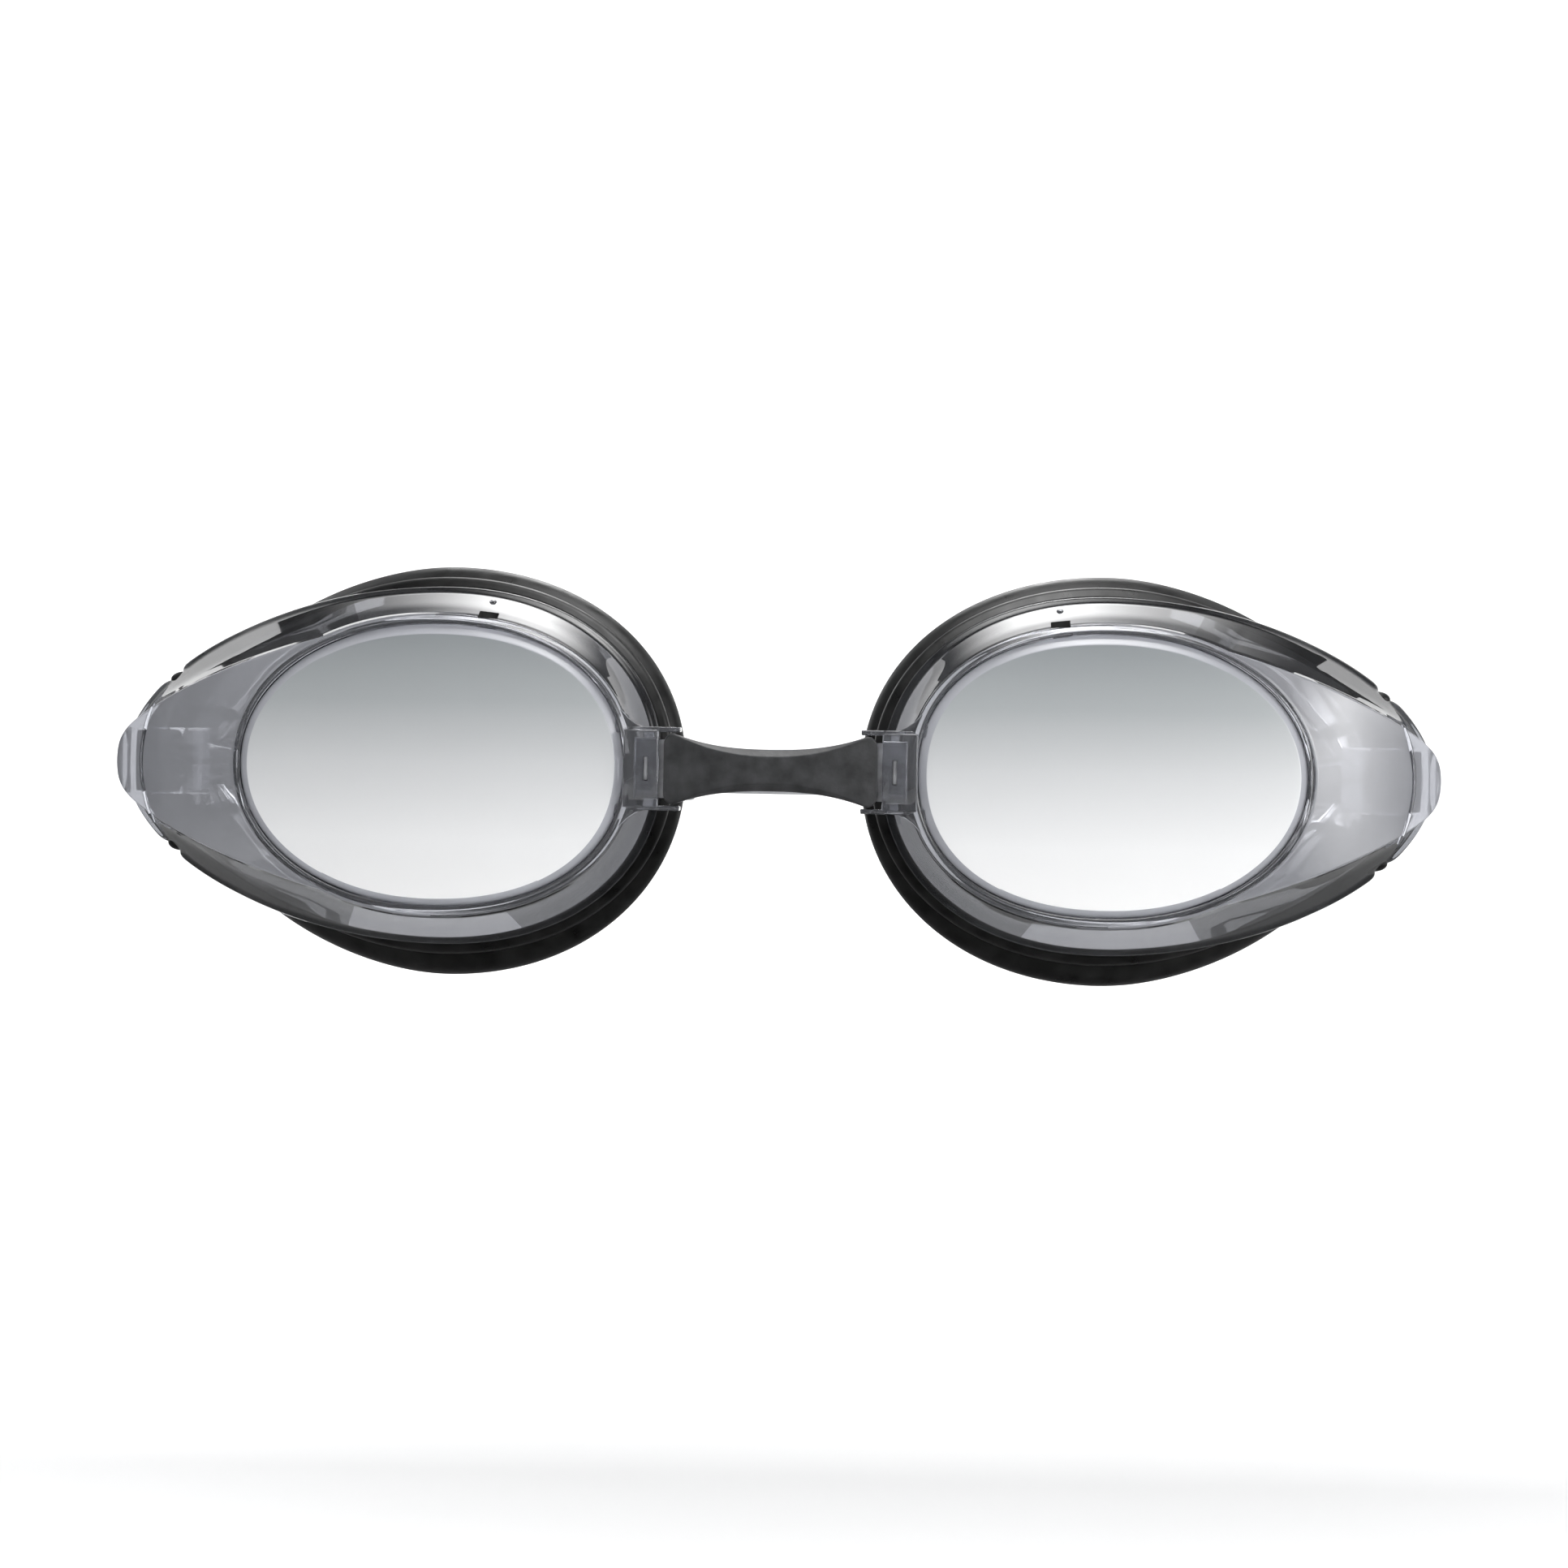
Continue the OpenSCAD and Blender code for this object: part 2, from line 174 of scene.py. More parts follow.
def mesh_object(name, points, faces, side=1, smooth=40):
    """A mesh from points in mm; side -1 mirrors it across the centre line. The normals face outwards."""
    mesh = bpy.data.meshes.new(name)
    mesh.from_pydata([(side * p[0] * MM, p[1] * MM, p[2] * MM) for p in points], [], faces)
    bm = bmesh.new()
    bm.from_mesh(mesh)
    bmesh.ops.remove_doubles(bm, verts=bm.verts, dist=1e-7)
    bmesh.ops.recalc_face_normals(bm, faces=bm.faces)
    bm.to_mesh(mesh)
    bm.free()
    piece = bpy.data.objects.new(name, mesh)
    bpy.context.scene.collection.objects.link(piece)
    shade(piece, smooth)
    return piece


def shade(piece, smooth=40):
    piece.data.shade_smooth()
    piece.data.set_sharp_from_angle(angle=math.radians(smooth))


def grid_faces(rows, columns, wrap_rows, wrap_columns):
    faces = []
    for j in range(rows if wrap_rows else rows - 1):
        for i in range(columns if wrap_columns else columns - 1):
            a, b = j * columns + i, j * columns + (i + 1) % columns
            c, d = ((j + 1) % rows) * columns + (i + 1) % columns, ((j + 1) % rows) * columns + i
            faces.append((a, b, c, d))
    return faces


def loop_piece(name, rings, side, smooth=40):
    points = np.concatenate(rings)
    return mesh_object(name, points, grid_faces(len(rings), N, True, True), side, smooth)


def disc_piece(name, rings, side, smooth=40):
    points = np.concatenate([*rings, [rings[0].mean(0)], [rings[-1].mean(0)]])
    faces = grid_faces(len(rings), N, False, True)
    first, last, far = len(rings) * N, len(rings) * N + 1, (len(rings) - 1) * N
    faces += [(first, (i + 1) % N, i) for i in range(N)]
    faces += [(last, far + i, far + (i + 1) % N) for i in range(N)]
    return mesh_object(name, points, faces, side, smooth)


def capped_tube(name, sections, side, smooth=40):
    """A solid through a row of sections that all have the same number of points."""
    columns = len(sections[0])
    faces = grid_faces(len(sections), columns, False, True)
    last = (len(sections) - 1) * columns
    faces += [tuple(range(columns)), tuple(last + i for i in range(columns))[::-1]]
    return mesh_object(name, np.concatenate(sections), faces, side, smooth)


def prism(name, shape, low, high, side=1, axis="z", bevel=0.0, segments=3):
    """A solid from a flat outline in mm, drawn from low to high along an axis, with bevelled edges."""
    count = len(shape)
    ends = {"z": lambda p, h: (p[0], p[1], h), "y": lambda p, h: (p[0], h, p[1])}[axis]
    points = [ends(p, low) for p in shape] + [ends(p, high) for p in shape]
    faces = [(i, (i + 1) % count, count + (i + 1) % count, count + i) for i in range(count)]
    faces += [tuple(range(count))[::-1], tuple(range(count, 2 * count))]
    piece = mesh_object(name, points, faces, side)
    if bevel:
        cut = piece.modifiers.new("bevel", "BEVEL")
        cut.width, cut.segments, cut.limit_method = bevel * MM, segments, "ANGLE"
        cut.angle_limit = math.radians(30)
        apply_modifiers(piece)
    return piece


def block(name, low, high, side=1, bevel=0.0, segments=3):
    shape = [(low[0], low[1]), (high[0], low[1]), (high[0], high[1]), (low[0], high[1])]
    return prism(name, shape, low[2], high[2], side, "z", bevel, segments)


def apply_modifiers(piece):
    bpy.context.view_layer.update()
    made = bpy.data.meshes.new_from_object(piece.evaluated_get(bpy.context.evaluated_depsgraph_get()))
    piece.modifiers.clear()
    piece.data = made


def combine(piece, other, way):
    """piece joined with, or cut by, other, which is then gone."""
    cut = piece.modifiers.new(way, "BOOLEAN")
    cut.operation, cut.object, cut.solver, cut.material_mode = way, other, "EXACT", "INDEX"
    apply_modifiers(piece)
    bpy.data.objects.remove(other)
    return piece


def merge(name, pieces):
    """Several closed shells as one piece."""
    bm = bmesh.new()
    for p in pieces:
        p.data.transform(p.matrix_world)
        bm.from_mesh(p.data)
        bpy.data.objects.remove(p)
    mesh = bpy.data.meshes.new(name)
    bm.to_mesh(mesh)
    bm.free()
    piece = bpy.data.objects.new(name, mesh)
    bpy.context.scene.collection.objects.link(piece)
    return piece


# ---------------------------------------------------------------- materials
def node_material(name):
    m = bpy.data.materials.new(name)
    m.use_nodes = True
    return m, m.node_tree.nodes, m.node_tree.links, m.node_tree.nodes["Principled BSDF"]


def noise(nodes, links, scale, detail=3.0, stretch=(1, 1, 1)):
    place = nodes.new("ShaderNodeTexCoord")
    size = nodes.new("ShaderNodeMapping")
    size.inputs["Scale"].default_value = stretch
    texture = nodes.new("ShaderNodeTexNoise")
    texture.inputs["Scale"].default_value = scale
    texture.inputs["Detail"].default_value = detail
    links.new(place.outputs["Object"], size.inputs["Vector"])
    links.new(size.outputs["Vector"], texture.inputs["Vector"])
    return texture


def bump(nodes, links, texture, shader, strength, distance):
    b = nodes.new("ShaderNodeBump")
    b.inputs["Strength"].default_value = strength
    b.inputs["Distance"].default_value = distance * MM
    links.new(texture.outputs["Fac"], b.inputs["Height"])
    links.new(b.outputs["Normal"], shader.inputs["Normal"])


def ramp(nodes, links, source, stops):
    r = nodes.new("ShaderNodeValToRGB")
    while len(r.color_ramp.elements) < len(stops):
        r.color_ramp.elements.new(0.5)
    for e, (place, colour) in zip(r.color_ramp.elements, stops):
        e.position = place
        e.color = (*colour, 1) if len(colour) == 3 else colour
    links.new(source, r.inputs["Fac"])
    return r


def grey(v, blue=0.0):
    return (v, v * (1 + 0.2 * blue), v * (1 + blue))


def mottle(nodes, links, cloud, shader, socket, low, high):
    """A socket that runs between two values with a noise: each is (place in the noise, grey)."""
    tones = ramp(nodes, links, cloud.outputs["Fac"], [low, high])
    links.new(tones.outputs["Color"], shader.inputs[socket])


def smoke_plastic(name, tone, clear=0.92):
    """Smoke-clear plastic: the part of the light given by clear goes through it."""
    m, nodes, links, s = node_material(name)
    cloud = noise(nodes, links, 90, 2)
    dark, pale = grey(tone * 0.93, 0.1), grey(tone * 1.07, 0.1)
    mottle(nodes, links, cloud, s, "Base Color", (0.3, dark), (0.7, pale))
    mottle(nodes, links, cloud, s, "Roughness", (0.3, grey(0.015)), (0.75, grey(0.04)))
    s.inputs["Transmission Weight"].default_value = clear
    s.inputs["Specular IOR Level"].default_value = 0.7
    s.inputs["IOR"].default_value = 1.58
    bump(nodes, links, noise(nodes, links, 60, 1), s, 0.02, 0.1)
    return m


def gate_recess_shade():
    """The rough pocket left where the moulding's gate was broken off, painted near black: painted shade in
    the recess.
    """
    m, nodes, links, s = node_material("gate_recess_painted_shade")
    cloud = noise(nodes, links, 900, 3)
    mottle(nodes, links, cloud, s, "Base Color", (0.3, grey(0.008)), (0.7, grey(0.03)))
    s.inputs["Roughness"].default_value = 0.5
    bump(nodes, links, cloud, s, 0.3, 0.1)
    return m


def mirror_coat():
    """The lens's outside: a mirror coat with a painted reflection, its colour pale at the bottom and dark
    at the top.
    """
    m, nodes, links, s = node_material("lens_mirror_coat_painted_reflection")
    place = nodes.new("ShaderNodeTexCoord")
    split = nodes.new("ShaderNodeSeparateXYZ")
    links.new(place.outputs["Object"], split.inputs["Vector"])
    height = nodes.new("ShaderNodeMapRange")
    height.inputs["From Min"].default_value = -LENS_H * MM
    height.inputs["From Max"].default_value = LENS_H * MM
    links.new(split.outputs["Z"], height.inputs["Value"])
    # painted reflection: the coat's colour runs from pale at the bottom to dark at the top
    painted_reflection = ramp(
        nodes,
        links,
        height.outputs["Result"],
        [
            (0.0, (0.94, 0.94, 0.94)),
            (0.22, (0.86, 0.865, 0.87)),
            (0.5, (0.64, 0.65, 0.66)),
            (0.75, (0.4, 0.42, 0.43)),
            (1.0, (0.27, 0.29, 0.3)),
        ],
    )
    links.new(painted_reflection.outputs["Color"], s.inputs["Base Color"])
    streak = noise(nodes, links, 60, 3)
    mottle(nodes, links, streak, s, "Roughness", (0.3, grey(0.3)), (0.7, grey(0.36)))
    s.inputs["Metallic"].default_value = 0.06
    s.inputs["Specular IOR Level"].default_value = 0.25
    s.inputs["Coat Weight"].default_value = 0.12
    s.inputs["Coat Roughness"].default_value = 0.04
    s.inputs["IOR"].default_value = 1.58
    bump(nodes, links, noise(nodes, links, 40, 2), s, 0.03, 0.1)
    return m


def lens_edge():
    """The bare plastic of the lens's bevel and inside."""
    m, nodes, links, s = node_material("lens_edge_plastic")
    cloud = noise(nodes, links, 70, 2)
    mottle(nodes, links, cloud, s, "Base Color", (0.3, grey(0.5, 0.1)), (0.7, grey(0.58, 0.1)))
    s.inputs["Transmission Weight"].default_value = 0.25
    s.inputs["Roughness"].default_value = 0.12
    s.inputs["IOR"].default_value = 1.58
    bump(nodes, links, noise(nodes, links, 200, 2), s, 0.03, 0.1)
    return m


def seal_rubber():
    m, nodes, links, s = node_material("black_seal_elastomer")
    cloud = noise(nodes, links, 320, 5)
    mottle(nodes, links, cloud, s, "Base Color", (0.35, grey(0.003)), (0.7, grey(0.012)))
    mottle(nodes, links, cloud, s, "Roughness", (0.3, grey(0.26)), (0.75, grey(0.46)))
    s.inputs["Specular IOR Level"].default_value = 0.4
    bump(nodes, links, noise(nodes, links, 900, 4), s, 0.25, 0.12)
    return m


def bridge_rubber(name, tone):
    m, nodes, links, s = node_material(name)
    cloud = noise(nodes, links, 500, 6)
    dark, pale = grey(tone * 0.6, 0.06), grey(tone * 1.5, 0.06)
    mottle(nodes, links, cloud, s, "Base Color", (0.3, dark), (0.75, pale))
    s.inputs["Roughness"].default_value = 0.38
    bump(nodes, links, noise(nodes, links, 1500, 3), s, 0.5, 0.1)
    return m


def strap_silicone():
    m, nodes, links, s = node_material("smoke_strap_silicone")
    cloud = noise(nodes, links, 120, 4)
    mottle(nodes, links, cloud, s, "Base Color", (0.3, grey(0.42, 0.05)), (0.7, grey(0.5, 0.05)))
    mottle(nodes, links, cloud, s, "Roughness", (0.3, grey(0.32)), (0.7, grey(0.48)))
    s.inputs["Transmission Weight"].default_value = 0.35
    s.inputs["IOR"].default_value = 1.41
    bump(nodes, links, noise(nodes, links, 700, 4), s, 0.2, 0.08)
    return m


def buckle_plastic():
    m, nodes, links, s = node_material("black_buckle_nylon")
    cloud = noise(nodes, links, 420, 4)
    mottle(nodes, links, cloud, s, "Base Color", (0.3, grey(0.014)), (0.7, grey(0.03)))
    s.inputs["Roughness"].default_value = 0.42
    bump(nodes, links, noise(nodes, links, 1300, 3), s, 0.3, 0.06)
    return m


def studio_paper(name, tone):
    m, nodes, links, s = node_material(name)
    cloud = noise(nodes, links, 8, 3)
    mottle(nodes, links, cloud, s, "Base Color", (0.3, grey(tone * 0.985)), (0.7, grey(tone)))
    s.inputs["Roughness"].default_value = 0.9
    s.inputs["Specular IOR Level"].default_value = 0.1
    return m


SMOKE = smoke_plastic("smoke_polycarbonate", 0.62)
# painted shade: the cup walls are the same plastic, given a much darker copy of it
WALL_SHADE_SMOKE = smoke_plastic("smoke_polycarbonate_wall_painted_shade", 0.13)
# painted shading: the arm fronts are the same plastic, given a greyer, less clear copy of it
ARM_SHADING_SMOKE = smoke_plastic("smoke_polycarbonate_arm_painted_shading", 0.42, 0.45)
RECESS_SHADE, COAT, EDGE = gate_recess_shade(), mirror_coat(), lens_edge()
SEAL, STRAP, BUCKLE = seal_rubber(), strap_silicone(), buckle_plastic()
BRIDGE, TONGUE = bridge_rubber("charcoal_bridge_rubber", 0.036), bridge_rubber("grey_tongue_rubber", 0.3)


# ---------------------------------------------------------------- cup frames
def frame_rings():
    seat = outline(LENS_FACE, BEVEL_W + SEAT_GAP)
    rim = seat + 0.95
    panel = np.maximum(outline(PANEL), rim + 0.15)
    back = outline(CUP_BACK)
    away = np.degrees(np.abs((T + np.pi) % (2 * np.pi) - np.pi))
    notch = 0.9 * np.exp(-(((away - 17.5) / 1.5) ** 2))
    flange = back - notch
    wall = back - 0.8
    mouth, ledge = outline(CUP_MOUTH), outline(LENS_FACE, -0.9)

    def between(a, b, share):
        return a * (1 - share) + b * share

    floor = LENS_T + SEAT_GAP
    return rounded(
        [
            (ring(seat, 0, floor), 0.05, 2),
            (ring(seat + 0.01, 0, -0.14), 0.1, 3),
            (ring(seat + 0.26, 0, -0.36), 0.2, 4),
            (ring(seat + 0.5, 0, -0.34), 0.25, 4),
            (ring(rim, 0, 0.02), 0.25, 4),
            (ring(between(rim, panel, 0.25), 0), 0, 0),
            (ring(between(rim, panel, 0.5), 0), 0, 0),
            (ring(between(rim, panel, 0.75), 0), 0, 0),
            (ring(panel, 0.0), 0.3, 5),
            (ring(between(panel, wall, 0.1), 0.12), 0.3, 4),
            (ring(between(panel, wall, 0.42), 0.4), 1.5, 6),
            (ring(wall, 0.79), 0.5, 5),
            (ring(flange - 0.1, 0.85), 0.22, 4),
            (ring(flange, 0.9), 0.12, 3),
            (ring(flange, 1.0), 0.15, 3),
            (ring(mouth, 1.0), 0.15, 3),
            (ring(ledge, 0, floor + 1.2), 0.3, 3),
            (ring(ledge, 0, floor), 0.05, 2),
        ]
    )


def strap_pocket(side):
    lip_u = 29.9
    inner = [(u, float(face_y(u, 0)) + PANEL_T) for u in np.linspace(26.0, 36.6, 9)]
    lip_y = float(back_y(np.array(lip_u), 0)) - 0.2
    shape = [*inner, (36.6, 20.0), (lip_u, 20.0), (lip_u, lip_y)]
    shape = [(PITCH / 2 + u, y) for u, y in shape]
    return prism("pocket", shape, -3.8, 3.8, side)


def ball(name, centre, size, side, steps=14):
    """A rounded lump, with its three half sizes."""
    rings = []
    for q in np.linspace(-np.pi / 2, np.pi / 2, steps + 1)[1:-1]:
        a = np.linspace(0, 2 * np.pi, 2 * steps + 1)[:-1]
        unit = np.stack([np.cos(q) * np.cos(a), np.full(len(a), np.sin(q)), np.cos(q) * np.sin(a)], 1)
        rings.append(unit * size + centre)
    count = 2 * steps
    ends = [np.array([centre]) + [[0, s * size[1], 0]] for s in (-1, 1)]
    faces = grid_faces(len(rings), count, False, True)
    first, far = len(rings) * count, (len(rings) - 1) * count
    faces += [(first, (i + 1) % count, i) for i in range(count)]
    faces += [(first + 1, far + i, far + (i + 1) % count) for i in range(count)]
    return mesh_object(name, np.concatenate([*rings, *ends]), faces, side)


def arm_rib(side):
    """The raised line across the arm's front, over the strap bar."""
    rings = []
    for v in np.linspace(-7.2, 6.6, 45):
        u = 35.0 - 0.034 * v * v
        size = 0.3 * min(1.0, math.sqrt(max(0.02, (7.4 - abs(v + 0.3)) / 1.6)))
        a = np.linspace(0, 2 * np.pi, 17)[:-1]
        y = float(face_y(u, v)) + 0.1
        rings.append(np.stack([PITCH / 2 + u + size * np.cos(a), y + size * np.sin(a), np.full(16, v)], 1))
    return capped_tube("rib", rings, side)


# the bridge's socket on the cup's nose side, each box from its low corner to its high one, in x, y and z
SOCKET = ((12.6, -12.4, -4.4), (16.6, -7.9, 4.4))
SLOT = ((9.2, -11.25, -3.45), (15.35, -9.35, 3.45))
WINDOW = ((13.75, -13.4, -1.4), (14.3, -10.9, 1.4))
CHEEK_X, CHEEK_Y, CHEEK_Z = (10.2, 16.1), (-12.2, -8.6), (4.15, 4.7)
GUSSET_Y = (-11.3, -8.4)
GUSSET = [
    *[(17.6, 4.0), (17.6, 7.6), (16.9, 6.6), (16.1, 5.7)],
    *[(15.2, 5.05), (14.2, 4.65), (13.0, 4.4), (13.0, 4.0)],
]
GATE = (-6.0, 17.2)
RECESS_SHADE_FACE, WALL_SHADE_FACE, ARM_SHADING_FACE = 1, 2, 3  # 0 is the plain smoke plastic; 1, 2 and 3 are copies of it with painted shade and light: the gate recess, the walls, the arm fronts


def cup_frame(name, side):
    piece = loop_piece(name, frame_rings(), side)
    for m in (SMOKE, RECESS_SHADE, WALL_SHADE_SMOKE, ARM_SHADING_SMOKE):
        piece.data.materials.append(m)
    for p in piece.data.polygons:
        u, y, v = side * p.center.x / MM - PITCH / 2, p.center.y / MM, p.center.z / MM
        deep = (y - face_y(u, v)) / (back_y(u, v) - face_y(u, v))
        # the arm fronts: painted shading
        if deep < 0.04 and u > 0 and not within(LENS_FACE, u, v, BEVEL_W + SEAT_GAP + 0.8):
            p.material_index = ARM_SHADING_FACE
        # the walls: painted shade
        elif 0.04 < deep < 0.97 and math.hypot(u, v) > 17.5:
            p.material_index = WALL_SHADE_FACE
    combine(piece, block("socket", *SOCKET, side, 0.25), "UNION")
    for s in (-1, 1):
        z0, z1 = sorted(s * z for z in CHEEK_Z)
        cheek = block("cheek", (CHEEK_X[0], CHEEK_Y[0], z0), (CHEEK_X[1], CHEEK_Y[1], z1), side, 0.12)
        combine(piece, cheek, "UNION")
        web = prism("gusset", [(x, s * z) for x, z in GUSSET], *GUSSET_Y, side, "y", 0.15)
        combine(piece, web, "UNION")
    combine(piece, arm_rib(side), "UNION")
    gate_x, gate_z = PITCH / 2 + GATE[0], GATE[1]
    low, high = (gate_x - 1.1, -14.0, gate_z - 0.55), (gate_x + 1.1, -6.6, gate_z + 3)
    # the gate recess's walls carry the near-black painted shade
    recess = block("gate", low, high, side, 0.1)
    recess.data.materials.append(SMOKE)
    recess.data.materials.append(RECESS_SHADE)
    recess.data.polygons.foreach_set("material_index", [RECESS_SHADE_FACE] * len(recess.data.polygons))
    combine(piece, recess, "DIFFERENCE")
    combine(piece, ball("pip", (gate_x, -2.6, gate_z + 1.5), (0.45, 0.6, 0.3), side), "UNION")
    combine(piece, strap_pocket(side), "DIFFERENCE")
    combine(piece, block("slot", *SLOT, side, 0.1), "DIFFERENCE")
    combine(piece, block("window", *WINDOW, side), "DIFFERENCE")
    shade(piece, 35)
    return piece


# ---------------------------------------------------------------- lenses
def lens_piece(name, side):
    face = outline(MIRROR)
    edge = outline(LENS_FACE, BEVEL_W)
    front = [(ring(face * q, 0, BEVEL_TOP), 0, 0) for q in (0.15, 0.3, 0.45, 0.6, 0.75, 0.88, 0.96)]
    rings = rounded(
        [
            *front,
            (ring(face, 0, BEVEL_TOP), 0.12, 3),
            (ring(edge, 0, BEVEL_FOOT), 0.12, 3),
            (ring(edge, 0, LENS_T), 0.12, 3),
            *[(ring(face * q, 0, LENS_T), 0, 0) for q in (0.95, 0.75, 0.5, 0.25)],
        ],
        closed=False,
    )
    piece = disc_piece(name, rings, side)
    piece.data.materials.append(EDGE)
    piece.data.materials.append(COAT)
    for p in piece.data.polygons:
        u, v = side * p.center.x / MM - PITCH / 2, p.center.z / MM
        outside = p.center.y / MM < float(face_y(u, v)) + 0.2
        p.material_index = 1 if outside and within(MIRROR, u, v) else 0
    return piece


# ---------------------------------------------------------------- seals
def seal_piece(name, side):
    inside = outline(CUP_MOUTH, -0.2)
    foot = outline(SEAL_FOOT)
    lip = outline(SEAL_LIP)
    piece = loop_piece(
        name,
        rounded(
            [
                (ring(inside, 1, 0.06), 0.1, 2),
                (ring(foot, 1, 0.06), 0.1, 2),
                (ring(foot + 0.95, 1, 0.7), 0.4, 5),
                (ring(foot + 1.15, 1.2, 1.5), 0.4, 5),
                (ring(foot + 0.7, 1.4, 1.95), 0.4, 5),
                (ring(lip - 0.55, 2, SEAL_DEPTH - 2.2), 0.8, 5),
                (ring(lip, 2, SEAL_DEPTH - 0.9), 0.8, 6),
                (ring(lip - 0.6, 2, SEAL_DEPTH), 0.6, 6),
                (ring(lip - 2.8, 2, SEAL_DEPTH + 0.2), 1.2, 5),
                (ring(lip - 5.2, 2, SEAL_DEPTH - 0.8), 0.5, 5),
                (ring(lip - 5.0, 2, SEAL_DEPTH - 1.6), 0.6, 5),
                (ring(inside, 2, 1.4), 0.8, 5),
            ]
        ),
        side,
        60,
    )
    shells = [piece]
    for s in (-1, 1):
        u, v = 31.0, s * 9.5
        shells.append(ball("nub", (PITCH / 2 + u, float(back_y(u, v)) - 0.9, v), (1.6, 1.1, 0.95), side))
    piece = merge(name, shells)
    piece.data.materials.clear()
    piece.data.materials.append(SEAL)
    return piece


# ---------------------------------------------------------------- nose bridge
BRIDGE_HALF, END_H, MID_H, BRIDGE_T, END_ROUND = 12.0, 4.0, 2.36, 2.6, 1.1
BOW_R, BOW_FRONT = 46.0, -13.9


def bridge_half(name, side):
    turn = np.sin(np.linspace(0, 1, 12) * np.pi / 2)
    xs = np.concatenate([np.linspace(0, 10.6, 60), BRIDGE_HALF - END_ROUND + END_ROUND * turn])
    sections = []
    for x in xs:
        h = MID_H + (END_H - MID_H) * min(1.0, x / (BRIDGE_HALF - END_ROUND)) ** 2.5
        chamfer = max(0.14, h - 1.5 - 0.0128 * x**2.2)
        past = max(0.0, x - (BRIDGE_HALF - END_ROUND))
        h -= END_ROUND - math.sqrt(max(0.0, END_ROUND**2 - past**2))
        front = BOW_FRONT + BOW_R - math.sqrt(BOW_R**2 - x * x)
        back = BOW_FRONT + BOW_R - math.sqrt((BOW_R - BRIDGE_T) ** 2 - x * x)
        corners = [
            (front + 0.02, h - chamfer, 0.14),
            (front + 0.1 + 0.85 * chamfer, h, 0.2),
            (back, h, 0.35),
            (back, -h, 0.35),
            (front + 0.1 + 0.85 * chamfer, -h, 0.2),
            (front + 0.02, -h + chamfer, 0.14),
        ]
        flat = [(np.array([[x, y, z]]), size, 4) for y, z, size in corners]
        sections.append(np.concatenate(rounded(flat)))
    piece = capped_tube(name, sections, side, 45)
    combine(piece, prism("groove", circle(FLEX, 0.88, 40), -6, 6, side), "DIFFERENCE")
    shade(piece, 45)
    piece.data.materials.clear()
    piece.data.materials.append(BRIDGE)
    return piece


def tongue_piece(name, side):
    piece = prism("bead", circle(FLEX, 0.8, 40), -3.3, 3.3, side)
    combine(piece, block("blade", (12.2, -11.1, -3.3), (15.2, -9.5, 3.3), side, 0.15), "UNION")
    combine(piece, block("catch", (13.8, -12.1, -1.33), (14.25, -10.9, 1.33), side, 0.1), "UNION")
    piece.name = name
    shade(piece, 40)
    piece.data.materials.clear()
    piece.data.materials.append(TONGUE)
    return piece


# ---------------------------------------------------------------- strap
def strap_path(back):
    """The strap's middle line from the bar to its tail, with the direction its outer face looks in."""
    lean = math.radians(LEAN)
    off = BAR_R + EYE_GAP + EYE_SKIN + STRAP_T / 2
    sx, sy = BAR[0] + off, BAR[1]
    cy = back - CORNER_R
    cx = sx + math.tan(lean) * (cy - CORNER_R * math.sin(lean) - sy) - CORNER_R * math.cos(lean)
    first = np.array([cx + CORNER_R * math.cos(lean), cy - CORNER_R * math.sin(lean)])
    line = [(*(np.array([sx, sy]) * (1 - q) + first * q), -lean) for q in np.linspace(0, 1, 60)[:-1]]
    turn = np.linspace(-lean, np.pi / 2, 60)
    line += [(cx + CORNER_R * math.cos(a), cy + CORNER_R * math.sin(a), a) for a in turn]
    line += [(x, back, np.pi / 2) for x in np.linspace(cx, TAIL_X, 40)[1:]]
    return np.array(line)


def strap_piece(name, side, back):
    sections = []
    for x, y, a in strap_path(back):
        w = (EYE_W + (STRAP_W - EYE_W) * float(np.clip((y - 14) / 46, 0, 1))) / 2
        t = STRAP_T / 2
        if y > back - 1 and x < TAIL_X + 2.6:
            w *= math.sqrt(max(0.02, 1 - ((TAIL_X + 2.6 - x) / 2.62) ** 2)) * 0.55 + 0.45
        groove = 0.16
        corners = [
            (-t, -w, 0.25),
            (t, -w, 0.25),
            (t, -0.42 * w, 0.1),
            (t - groove, -0.34 * w, 0.1),
            (t - groove, 0.34 * w, 0.1),
            (t, 0.42 * w, 0.1),
            (t, w, 0.25),
            (-t, w, 0.25),
        ]
        out, along = math.cos(a), math.sin(a)
        flat = [(np.array([[x + d * out, y + d * along, z]]), size, 3) for d, z, size in corners]
        sections.append(np.concatenate(rounded(flat)))
    band = capped_tube("band", sections, side)
    outer = BAR_R + EYE_GAP + EYE_SKIN + STRAP_T
    combine(band, prism("eye", circle(BAR, outer, 72), -EYE_W / 2, EYE_W / 2, side, "z", 0.6), "UNION")
    combine(band, prism("hole", circle(BAR, BAR_R + EYE_GAP, 72), -5, 5, side), "DIFFERENCE")
    band.name = name
    shade(band, 40)
    band.data.materials.clear()
    band.data.materials.append(STRAP)
    return band


SLOT_H = 3.18


def sleeve_piece(name, low, high, slots, ribs, material, bevel):
    """A rounded sleeve with slots through it along X and grip ribs on its back."""
    piece = block(name, low, high, 1, bevel, 4)
    for y0, y1 in slots:
        slot = block("slot", (low[0] - 1, y0, -SLOT_H), (high[0] + 1, y1, SLOT_H), 1, 0.1)
        combine(piece, slot, "DIFFERENCE")
    for x in ribs:
        combine(piece, prism("rib", circle((x, high[1]), 0.45, 24), -3, 3, 1, "z", 0.2), "UNION")
    shade(piece, 35)
    piece.data.materials.clear()
    piece.data.materials.append(material)
    return piece


